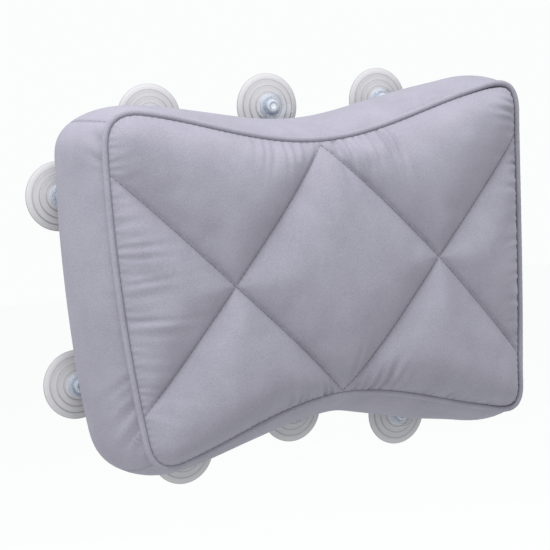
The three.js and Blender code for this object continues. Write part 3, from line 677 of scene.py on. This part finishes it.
# Piping cord: a three-strand cotton cord, laid round the front edge inside the piping. It
# hides in its sleeve and gives the edge its round line.
CORD_RADIUS, STRANDS, LAY_LENGTH, STRAND_RELIEF = 1.6, 3, 14.0, 0.07
PIPING_SPACING, CORD_SIDES = 2.5, 12
COTTON_LIGHT = "E9E4D8"
COTTON_SHADE = "C4BCA9"


def carried(count, size):
    """Quads of a closed section of size points that is carried once round in count places."""
    return [q for i in range(count) for q in rings(i * size, (i + 1) % count * size, size)]


def swept(loop, sections):
    """A section carried once round a closed loop: points and quads. Sections hold, for each
    place on the loop, (outward, back) pairs from the middle of the front seam."""
    out = outwards(loop)
    points = [
        (loop[i, 0] + out[i, 0] * o, SEAM_Y + back, loop[i, 1] + out[i, 1] * o)
        for i in range(len(loop)) for o, back in sections[i]
    ]
    return points, carried(len(loop), len(sections[0]))


# Cotton cord, twisted from undyed yarn: matt cream, with the yarns drawn 1 mm wide.
cotton_cord, add, place = new_material("cotton_cord")
yarns = add("TexNoise", {"Vector": place, "Scale": 1 / 0.001, "Detail": 3.0})
tone = add("Mix", {"Factor": yarns, "A": COTTON_SHADE, "B": COTTON_LIGHT}, data_type="RGBA")
relief = add("Bump", {"Strength": 0.4, "Distance": 0.0004, "Height": yarns})
add("BsdfPrincipled", {"Base Color": tone, "Roughness": 0.9, "Normal": relief})

loop = front_seam(PIPING_SPACING)
turns = round(len(loop) * PIPING_SPACING / LAY_LENGTH)
angles = np.arange(CORD_SIDES) * 2 * math.pi / CORD_SIDES
sections = []
for i in range(len(loop)):
    lay = 2 * math.pi * turns * i / len(loop)
    radius = CORD_RADIUS * (1 - STRAND_RELIEF * (1 - np.cos(STRANDS * (angles - lay))))
    sections.append(radius[:, None] * heading(angles))
cord = make_piece("piping_cord_cotton", *swept(loop, sections), cotton_cord)
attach(cord, "pillow")
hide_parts("piping_cord")


# Piping sleeve: a bias-cut strip of the same velour, folded round the cord. Its two plies are
# caught in the seam between the cover and the boxing, and its bias makes faint slanted ripples.
PIPING_RADIUS, PIPING_CLOTH, PIPING_FLANGE, PLY_SLIT = 2.5, 0.8, 8.0, 0.15
PIPING_RIPPLE, RIPPLE_PITCH, RIPPLE_SET = 0.1, 7.0, 0.05
sleeve_inside = PIPING_RADIUS - PIPING_CLOTH
slit_back = sleeve_inside
slit_front = slit_back - PLY_SLIT
ply_front = slit_front - PIPING_CLOTH
flange = [(-PIPING_FLANGE, y) for y in (PIPING_RADIUS, slit_back, slit_front, ply_front)]
outer_turn = np.linspace(math.pi - math.asin(ply_front / PIPING_RADIUS), 2.5 * math.pi, 19)
inner_turn = np.linspace(2.5 * math.pi, math.pi - math.asin(slit_front / sleeve_inside), 13)
inner = sleeve_inside * heading(inner_turn)
count = len(loop)
ripples = round(count * PIPING_SPACING / RIPPLE_PITCH)
chance = np.random.RandomState(11)
uneven = np.tile(chance.uniform(-1, 1, count), 3)
uneven = np.convolve(uneven, np.ones(5) / 5, "same")[count : 2 * count]
sections = []
for i in range(count):
    wave = np.sin(2 * math.pi * ripples * i / count + 1.5 * outer_turn + 2 * uneven[i])
    radius = PIPING_RADIUS + PIPING_RIPPLE * wave * (0.6 + 0.4 * uneven[i]) - RIPPLE_SET
    outer = radius[:, None] * heading(outer_turn)
    sections.append(np.concatenate([outer, flange[:2], inner, flange[2:]]))
sleeve = make_piece("piping_velour", *swept(loop, sections), lilac_velour)
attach(sleeve, "pillow")
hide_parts("piping_cover")


# Boxing: four strips of velour between the piping and the back panel, joined by a seam at each
# corner. The filling swells them, and the gathered front seam leaves short folds in them.
BOXING_CLOTH, BOXING_SPACING, BOXING_ROWS, ROW_SPREAD = 1.6, 3.0, 30, 1.25
SEAM_GROOVE, SEAM_WIDTH, HELD_REACH = 0.1, 1.5, 4.0
loop = front_seam(BOXING_SPACING)
count = len(loop)
depths = np.linspace(0, 1, BOXING_ROWS) ** ROW_SPREAD
depths = BOXING_FRONT + (BOXING_DEPTH - BOXING_FRONT) * depths
rows = [at_depth(boxing_line(loop, depth), SEAM_Y + depth) for depth in depths]
quads = np.concatenate([rings(j * count, (j + 1) * count, count) for j in range(BOXING_ROWS - 1)])
triangles = np.concatenate([quads[:, [0, 1, 2]], quads[:, [0, 2, 3]]])
sewn = np.zeros(count * BOXING_ROWS, bool)
sewn[:count] = sewn[-count:] = True
settled = np.concatenate(rows)
settled = settle_cloth(settled, triangles, sewn, ease=0.0, pressure=1.0, limit=2.0)

# The boxing laid flat: the way round from the top left corner, and the way back from the front.
peaks = [(-TOP_HALF_WIDTH, HALF_HEIGHT), (TOP_HALF_WIDTH, HALF_HEIGHT)]
peaks += [(BOTTOM_HALF_WIDTH, -HALF_HEIGHT), (-BOTTOM_HALF_WIDTH, -HALF_HEIGHT)]
corners = [int(np.argmin(np.hypot(*(loop - peak).T))) for peak in peaks]
step = steps(loop).mean()
total = step * count
round_it = (np.arange(count) - corners[0]) % count * step
walked = np.cumsum(np.linalg.norm(np.diff([r[0] for r in rows], axis=0), axis=1))
strip_width = walked[-1]
going_back = np.concatenate([[0], walked])
flat = np.stack([np.tile(round_it, BOXING_ROWS), np.repeat(going_back, count)], -1)
corner_at = [((c - corners[0]) % count) * step for c in corners]
top_middle, top_right, bottom_left = corner_at[1] / 2, corner_at[1], corner_at[3]
boxing_folds = (
    ((8, 0), (total, 0), 78, (90, 90), (9, 24), 0.45, 2.6),
    ((0, strip_width), (total, strip_width), 70, (270, 270), (9, 20), 0.4, 2.8),
    ((bottom_left + 6, 2), (bottom_left + 78, 0), 9, (142, 128), (26, 46), 2.4, 2.5),
    ((total - 34, 2), (total - 14, 2), 3, (58, 68), (16, 28), 2.0, 3.2),
    ((top_middle - 60, 2), (top_middle + 40, 2), 8, (125, 115), (18, 38), 1.6, 3.2),
    ((top_right - 96, 2), (top_right - 16, 2), 7, (62, 70), (18, 36), 1.3, 3.2),
)
deep = pleats(flat, boxing_folds, seed=3)
for at in corner_at + [total]:
    deep += SEAM_GROOVE * np.exp(-(((flat[:, 0] - at) / SEAM_WIDTH) ** 2))
out = np.tile(at_depth(outwards(loop), 0.0), (BOXING_ROWS, 1))
held = np.minimum(1, np.minimum(flat[:, 1], strip_width - flat[:, 1]) / HELD_REACH)
outer = settled - out * (deep * held)[:, None]
# The hem is turned in at the back, so the strip is twice as thick there.
inner = outer - out * BOXING_CLOTH
inner[-count:] -= out[-count:] * BOXING_CLOTH

for which, name in enumerate(("top", "right", "bottom", "left")):
    first, last = corners[which], corners[(which + 1) % 4]
    stations = [(first + i) % count for i in range((last - first) % count + 1)]
    wide = len(stations)
    numbers = [j * count + s for j in range(BOXING_ROWS) for s in stations]
    size = len(numbers)
    grid = np.arange(size).reshape(BOXING_ROWS, wide)
    quads = np.stack([grid[:-1, :-1], grid[:-1, 1:], grid[1:, 1:], grid[1:, :-1]], -1)
    quads = quads.reshape(-1, 4)
    faces = [*quads, *(quads[:, [0, 3, 2, 1]] + size)]
    rim = [*grid[0], *grid[1:-1, -1], *grid[-1, ::-1], *grid[-2:0:-1, 0]]
    faces += [(a, a + size, b + size, b) for a, b in zip(rim, rim[1:] + rim[:1])]
    points = np.concatenate([outer[numbers], inner[numbers]])
    strip = make_piece(f"boxing_{name}_velour", points, faces, lilac_velour, cut=len(rim))
    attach(strip, "pillow")
    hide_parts(f"boxing_{name}")


# Back panel: one piece of the same velour, sewn to the boxing all round and lying against the
# tub. It is nearly flat, and its edge is drawn into short puckers by the seam.
PANEL_CLOTH, PANEL_CROWN, PANEL_SPACING, PANEL_GAP = 1.6, 5.0, 6.0, 0.05
CROWN_REACH, CROWN_FADE, LOOSE_REACH = 0.55, 0.2, 0.5
PUCKER_HEIGHT, PUCKER_PITCH, PUCKER_REACH = 0.25, 8.5, 9.0
HEM_SINK, HEM_REACH = 0.5, 3.0
edge = boxing_line(loop, BOXING_DEPTH) - (2 * BOXING_CLOTH + PANEL_GAP) * outwards(loop)
flat, triangles, on_edge = cloth_net(edge, [], PANEL_SPACING)
share = share_out(flat, edge)
swell = PANEL_CROWN * np.clip(1 - share / CROWN_REACH, 0, 1) ** 0.5
swell *= np.clip((CROWN_REACH - share) / CROWN_FADE, 0, 1)
hem = np.zeros(len(flat), bool)
hem[on_edge] = True
triangles = triangles[:, ::-1]
points = at_depth(flat, BACK_Y + swell)
still = hem | (share > LOOSE_REACH)
points = settle_cloth(points, triangles, still, ease=0.01, pressure=1.0, limit=3.0)
points, triangles, hem = refine(points, triangles, hem)
place_on, gap = along_edge(points[:, [0, 2]], edge)
pucker = np.sin(place_on * 2 * math.pi / PUCKER_PITCH + 2 * np.sin(place_on / 31))
pucker += 0.6 * np.sin(place_on / 3.1)
points[:, 1] -= PUCKER_HEIGHT * (1 + pucker) * np.exp(-((gap / PUCKER_REACH) ** 2))
points[:, 1] -= HEM_SINK * np.exp(-((gap / HEM_REACH) ** 2))
faces, rim = two_sided(triangles, len(points))
points = np.concatenate([points, points - (0, PANEL_CLOTH, 0)])
panel = make_piece("back_panel_velour", points, faces + rim, lilac_velour, cut=len(rim))
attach(panel, "pillow")
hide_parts("back_panel")


# Cup holders: soft clear vinyl mouldings, each a thin tab with two ears and a socket that the
# knob of a cup snaps into. The end of the tab lies on the back panel and is sewn to it.
SOCKET_RADIUS, SOCKET_INSIDE, SOCKET_WEB, THROAT = 10.0, 8.4, 0.6, 4.4
LIP_FACE, LIP_BACK, TAB_FACE, TAB_THICKNESS = -7.1, -8.7, -16.0, 1.6
TAB_LENGTH, TAB_HALF_WIDTH, HOLDER_SIDES = 36.0, 8.0, 120
EAR_RADIUS, EAR_SPREAD, EAR_SET = 4.2, 12.8, 3.0
TOWARDS_PILLOW = {"top": -90, "bottom": 90, "right": 180, "left": 0}
VINYL_CLEAR = "CBD0D9"
VINYL_DEEP = "BAC2D0"
cups = []
for joint in frame["joints"]:
    name = joint["child"].removeprefix("cup_")
    x, _, z = joint["pos_m"]
    cups.append((name, 1000 * x, 1000 * z, math.radians(TOWARDS_PILLOW[name.split("_")[0]])))


def reach_of_strip(angle, start, end, radius):
    """How far a ray from the cup axis runs inside a strip with round ends."""
    far = np.linspace(0, 60, 1201)
    held = away_from(far[:, None] * heading(angle), [np.array((start, end))]) <= radius
    return far[held].max() if held.any() else 0.0


# Plasticised PVC, injection moulded and unpigmented: clear with a pale blue cast where it is
# thick, glossy, and marked by faint flow lines a few millimetres wide.
clear_vinyl, add, place = new_material("clear_vinyl")
flow = add("TexNoise", {"Vector": place, "Scale": 1 / 0.006, "Detail": 2.0, "Distortion": 0.6})
tone = add("Mix", {"Factor": flow, "A": VINYL_DEEP, "B": VINYL_CLEAR}, data_type="RGBA")
gloss = add("MapRange", {"Value": flow, "To Min": 0.15, "To Max": 0.3})
slant = add("LayerWeight", {"Blend": 0.4}).outputs["Facing"]
wall = add("MapRange", {"Value": slant, "From Min": 0.2, "To Min": 0.11, "To Max": 0.34})
relief = add("Bump", {"Strength": 0.08, "Distance": 0.0004, "Height": flow})
add("BsdfPrincipled", {
    "Base Color": tone, "Roughness": gloss, "IOR": 1.53, "Specular IOR Level": 0.3,
    "Alpha": wall, "Normal": relief,
})

tab_back = TAB_FACE + TAB_THICKNESS
angles = np.arange(HOLDER_SIDES) * 2 * math.pi / HOLDER_SIDES
reaches = []
for a in angles:
    tab = reach_of_strip(a, (0, 0), (TAB_LENGTH - TAB_HALF_WIDTH, 0), TAB_HALF_WIDTH)
    ears = reach_of_strip(a, (EAR_SET, -EAR_SPREAD), (EAR_SET, EAR_SPREAD), EAR_RADIUS)
    reaches.append(max(tab, ears, SOCKET_RADIUS + SOCKET_WEB))
for name, x, z, turned in cups:
    points = []
    for a, reach in zip(angles, reaches):
        section = [
            (SOCKET_INSIDE, TAB_FACE + 0.3), (SOCKET_INSIDE + 0.3, TAB_FACE),
            (reach - 0.5, TAB_FACE), (reach - 0.12, TAB_FACE + 0.2), (reach, TAB_FACE + 0.8),
            (reach - 0.12, tab_back - 0.2), (reach - 0.5, tab_back),
            (SOCKET_RADIUS + 0.25, tab_back), (SOCKET_RADIUS, tab_back + 0.3),
            (SOCKET_RADIUS, LIP_FACE - 0.6), (SOCKET_RADIUS - 0.6, LIP_FACE),
            (THROAT + 0.3, LIP_FACE), (THROAT, LIP_FACE - 0.3), (THROAT, LIP_BACK + 0.2),
            (THROAT + 0.2, LIP_BACK), (SOCKET_INSIDE - 0.4, LIP_BACK),
            (SOCKET_INSIDE, LIP_BACK - 0.4),
        ]
        along, up = heading(a + turned)
        points += [(r * along, y, r * up) for r, y in section]
    size = len(section)
    faces = carried(HOLDER_SIDES, size)
    holder = make_piece(f"cup_holder_{name}_vinyl", points, faces, clear_vinyl)
    holder.location = (x / 1000, 0, z / 1000)
    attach(holder, "pillow")
    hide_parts(f"cup_holder_{name}")


# Tab stitching: each tab is sewn to the back panel by a small square of lockstitch, in the
# same thread as the quilting. It lies on the wall side of the tab.
SEWN_FROM, SEWN_TO, SEWN_HALF, SIDE_STITCHES = 24.0, 33.0, 4.5, 3
TAB_STITCH_LIFT, TAB_STITCH_SET = 0.25, 0.1
square = np.array([
    (SEWN_FROM, -SEWN_HALF), (SEWN_TO, -SEWN_HALF), (SEWN_TO, SEWN_HALF), (SEWN_FROM, SEWN_HALF),
])
parts = []
for _, x, z, turned in cups:
    axes = heading(turned + np.array((0, math.pi / 2)))
    for a, b in sides(square @ axes + (x, z)):
        for k in range(SIDE_STITCHES):
            ends = np.array([a + (b - a) * (k + s) / SIDE_STITCHES for s in (0.1, 0.9)])
            start, end = at_depth(ends, tab_back + TAB_STITCH_SET)
            parts.append(stitch(start, end, np.array([0, TAB_STITCH_LIFT, 0])))
tab_stitching = make_piece("tab_stitching", *gathered(parts), polyester_thread)
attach(tab_stitching, "pillow")


# Suction cups: soft vinyl, one moulding each, with a thin hollow dish, moulded ring steps, a
# hub, a neck and a knob. The knob snaps into its holder and turns there.
CUP_RADIUS, RIM_WIDTH, RIM_EDGE = 28.0, 2.2, 1.1
DISH_HOLLOW, DISH_HEIGHT = 3.7, 5.2
RING_COUNT, RING_STEP, RING_SET = 3, 0.55, 0.98
HUB_RADIUS, HUB_HEIGHT, NECK_RADIUS = 9.3, 1.6, 4.0
KNOB_RADIUS, KNOB_BASE, KNOB_HEIGHT, KNOB_TAPER = 6.2, 9.0, 4.4, 1.2
HUB_SHADE_RING_PITCH, CUP_SIDES = 3.0, 96
VINYL_MILKY = "B6B5B8"
VINYL_WORN = "B0AFB3"
# Painted shade along the dish's moulded ring steps.
STEP_PAINTED_SHADE = "919095"
VINYL_HUB = "AEB3BC"
# Painted shade: darker rings 3 mm apart on the hub, at the edges of its shoulder, knob and tip.
RING_PAINTED_SHADE = "97A0AF"
# A painted highlight, pale, in the middle of the knob's end.
HUB_PAINTED_HIGHLIGHT = "D4D6D9"
hub_top = DISH_HEIGHT + HUB_HEIGHT
width = CUP_RADIUS - HUB_RADIUS
slope = (DISH_HEIGHT - RIM_EDGE - RING_COUNT * RING_STEP) / width
ring_width = width / (RING_COUNT + 0.5)
first_step = CUP_RADIUS - ring_width * RING_SET

# The same PVC, bloomed and scuffed by use: a milky dish, cloudy in patches 9 mm wide, with painted
# shade along its moulded steps. Light spreads only in the thick hub, which is bluer, with rings of
# painted shade 3 mm apart at the edges of its hub, knob and tip, and a painted highlight in its
# middle.
milky_vinyl, add, place = new_material("milky_vinyl")
flat_place = add("VectorMath", {0: place, 1: (1.0, 0.0, 1.0)}, operation="MULTIPLY")
radius = add("VectorMath", {0: flat_place}, operation="LENGTH")
bloom = add("TexNoise", {"Vector": place, "Scale": 1 / 0.009, "Detail": 3.0})
dish = add("Mix", {"Factor": bloom, "A": VINYL_WORN, "B": VINYL_MILKY}, data_type="RGBA")
past_step = add("Math", {0: radius, 1: first_step / 1000}, operation="SUBTRACT")
from_step = add("Math", {0: past_step, 1: ring_width / 2000}, operation="PINGPONG")
off_step_painted_shade = add("MapRange", {"Value": from_step, "From Min": 0.0002, "From Max": 0.0008})
dish = add("Mix", {"Factor": off_step_painted_shade, "A": STEP_PAINTED_SHADE, "B": dish}, data_type="RGBA")
# Painted shade in darker rings round the hub, knob and tip.
from_ring = add("Math", {0: radius, 1: HUB_SHADE_RING_PITCH / 2000}, operation="PINGPONG")
off_ring_painted_shade = add("MapRange", {"Value": from_ring, "From Min": 0.0002, "From Max": 0.0008})
hub = add("Mix", {"Factor": off_ring_painted_shade, "A": RING_PAINTED_SHADE, "B": VINYL_HUB}, data_type="RGBA")
off_hub = add("MapRange", {"Value": radius, "From Min": 0.009, "From Max": 0.0098})
body = add("Mix", {"Factor": off_hub, "A": hub, "B": dish}, data_type="RGBA")
glow = add("MapRange", {"Value": off_hub, "To Min": 0.5, "To Max": 0.0})
# A painted highlight in the middle of the knob's end.
off_painted_highlight = add("MapRange", {"Value": radius, "From Min": 0.0018, "From Max": 0.003})
tone = add("Mix", {"Factor": off_painted_highlight, "A": HUB_PAINTED_HIGHLIGHT, "B": body}, data_type="RGBA")
gloss = add("MapRange", {"Value": bloom, "To Min": 0.35, "To Max": 0.5})
relief = add("Bump", {"Strength": 0.06, "Distance": 0.0003, "Height": bloom})
add("BsdfPrincipled", {
    "Base Color": tone, "Roughness": gloss, "IOR": 1.53, "Specular IOR Level": 0.1,
    "Subsurface Weight": glow, "Subsurface Radius": (1.0, 1.0, 1.0), "Subsurface Scale": 0.006,
    "Normal": relief,
})

# The profile runs from the middle of the hollow over the rim and the steps to the knob's end.
profile = [
    (0.0, DISH_HOLLOW), (5.0, DISH_HOLLOW - 0.12), (10.0, DISH_HOLLOW - 0.62),
    (14.0, 2 * DISH_HOLLOW / 3), (20.0, 1.3), (24.0, 0.42),
    (CUP_RADIUS - RIM_WIDTH - 0.3, 0.06), (CUP_RADIUS - RIM_WIDTH, 0.0), (CUP_RADIUS - 0.3, 0.0),
    (CUP_RADIUS, 0.3), (CUP_RADIUS, RIM_EDGE - 0.3), (CUP_RADIUS - 0.3, RIM_EDGE),
]
for i in range(RING_COUNT):
    inwards = ring_width * (i + RING_SET)
    below = RIM_EDGE + slope * inwards + i * RING_STEP
    at = CUP_RADIUS - inwards
    profile += [(at + 0.5, below - 0.05), (at, below), (at - 0.18, below + 0.12)]
    profile += [(at - 0.35, below + RING_STEP + 0.1), (at - 0.9, below + RING_STEP)]
tip = KNOB_BASE + KNOB_HEIGHT
tip_radius = KNOB_RADIUS - KNOB_TAPER
profile += [
    (HUB_RADIUS + 0.5, DISH_HEIGHT - 0.05), (HUB_RADIUS, DISH_HEIGHT + 0.1),
    (HUB_RADIUS - 0.6, hub_top - 0.3), (HUB_RADIUS - 1.1, hub_top), (NECK_RADIUS + 0.6, hub_top),
    (NECK_RADIUS, hub_top + 0.4), (NECK_RADIUS, KNOB_BASE - 0.2), (NECK_RADIUS + 0.2, KNOB_BASE),
    (KNOB_RADIUS - 0.3, KNOB_BASE), (KNOB_RADIUS, KNOB_BASE + 0.4),
    (KNOB_RADIUS - 0.3, KNOB_BASE + 1.6), (tip_radius + 0.3, tip - 0.6), (tip_radius - 0.6, tip),
    (3.0, tip), (2.5, tip - 0.35), (1.2, tip - 0.5), (0.0, tip - 0.5),
]
angles = np.arange(CUP_SIDES) * 2 * math.pi / CUP_SIDES
layers = [at_depth(r * heading(angles), -height) for r, height in profile[1:-1]]
points = np.concatenate([[(0, -profile[0][1], 0)], *layers, [(0, -profile[-1][1], 0)]])
faces = capped(len(layers), CUP_SIDES)
for name, x, z, _ in cups:
    cup = make_piece(f"suction_cup_{name}_vinyl", points, faces, milky_vinyl)
    cup.location = (x / 1000, 0, z / 1000)
    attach(cup, f"cup_{name}")
    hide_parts(f"suction_cup_{name}")


# Studio: a pale painted floor with a painted shade in grey below the pillow, an even white
# surround, one large softbox high in front and a weak one on the left. The camera is a long
# lens at the photograph's angle.
FLOOR_Z, FLOOR_RADIUS, FLOOR_SIDES = -1500.0, 14000.0, 96
FLOOR_PALE = "FEFEFE"
FLOOR_DUST = "FCFDFC"
# Painted shade: the grey of the floor below the pillow.
FLOOR_PAINTED_SHADE = "EAEBEB"
SURROUND = "FBFDFC"
LAMP_DISTANCE, LAMP_SIZE = 1.4, (1.2, 1.0)
LAMPS = ("softbox", (0.24, 0.33, -0.91), 27.0), ("side_fill", (0.93, 0.35, -0.1), 5.5)
SENSOR, FOCAL_PIXELS, IMAGE_PIXELS = 36.0, 1600, 550

# Matt floor paint: nearly white, with faint dust in patches 150 mm wide.
matt_paint, add, place = new_material("matt_floor_paint")
dust = add("TexNoise", {"Vector": place, "Scale": 1 / 0.15, "Detail": 3.0})
tone = add("Mix", {"Factor": dust, "A": FLOOR_DUST, "B": FLOOR_PALE}, data_type="RGBA")
# Painted shade: the floor is grey below the pillow and turns white further out.
off = add("VectorMath", {0: place}, operation="LENGTH")
beyond_painted_shade = add(
    "MapRange", {"Value": off, "From Min": 2.4, "From Max": 4.2}, interpolation_type="SMOOTHSTEP"
)
tone = add("Mix", {"Factor": beyond_painted_shade, "A": FLOOR_PAINTED_SHADE, "B": tone}, data_type="RGBA")
add("BsdfPrincipled", {"Base Color": tone, "Roughness": 0.9, "Specular IOR Level": 0.0})
angles = np.arange(FLOOR_SIDES) * 2 * math.pi / FLOOR_SIDES
points = [(x, y, FLOOR_Z) for x, y in FLOOR_RADIUS * heading(angles)]
floor = make_piece("floor", points, [tuple(range(FLOOR_SIDES))], matt_paint, closed=False)

surround = bpy.data.worlds.new("white_surround")
surround.use_nodes = True
background = surround.node_tree.nodes["Background"]
background.inputs["Color"].default_value = colour(SURROUND)
background.inputs["Strength"].default_value = 1.0
scene.world = surround

for name, aim, energy in LAMPS:
    softbox = bpy.data.lights.new(name, "AREA")
    softbox.shape = "RECTANGLE"
    softbox.size, softbox.size_y = LAMP_SIZE
    softbox.energy = energy
    lamp = bpy.data.objects.new(name, softbox)
    aim = Vector(aim).normalized()
    lamp.location = Vector((0, -0.06, 0)) - LAMP_DISTANCE * aim
    lamp.rotation_euler = aim.to_track_quat("-Z", "Y").to_euler()
    scene.collection.objects.link(lamp)

lens = bpy.data.cameras.new("long_lens")
lens.sensor_width = SENSOR
lens.lens = SENSOR * FOCAL_PIXELS / IMAGE_PIXELS
camera = bpy.data.objects.new("long_lens", lens)
camera.location = (-0.6084, -1.2159, 0.1287)
camera.rotation_euler = Euler((math.radians(84.188), math.radians(4.536), math.radians(-26.868)))
scene.collection.objects.link(camera)
scene.camera = camera
scene.view_settings.view_transform = "Standard"
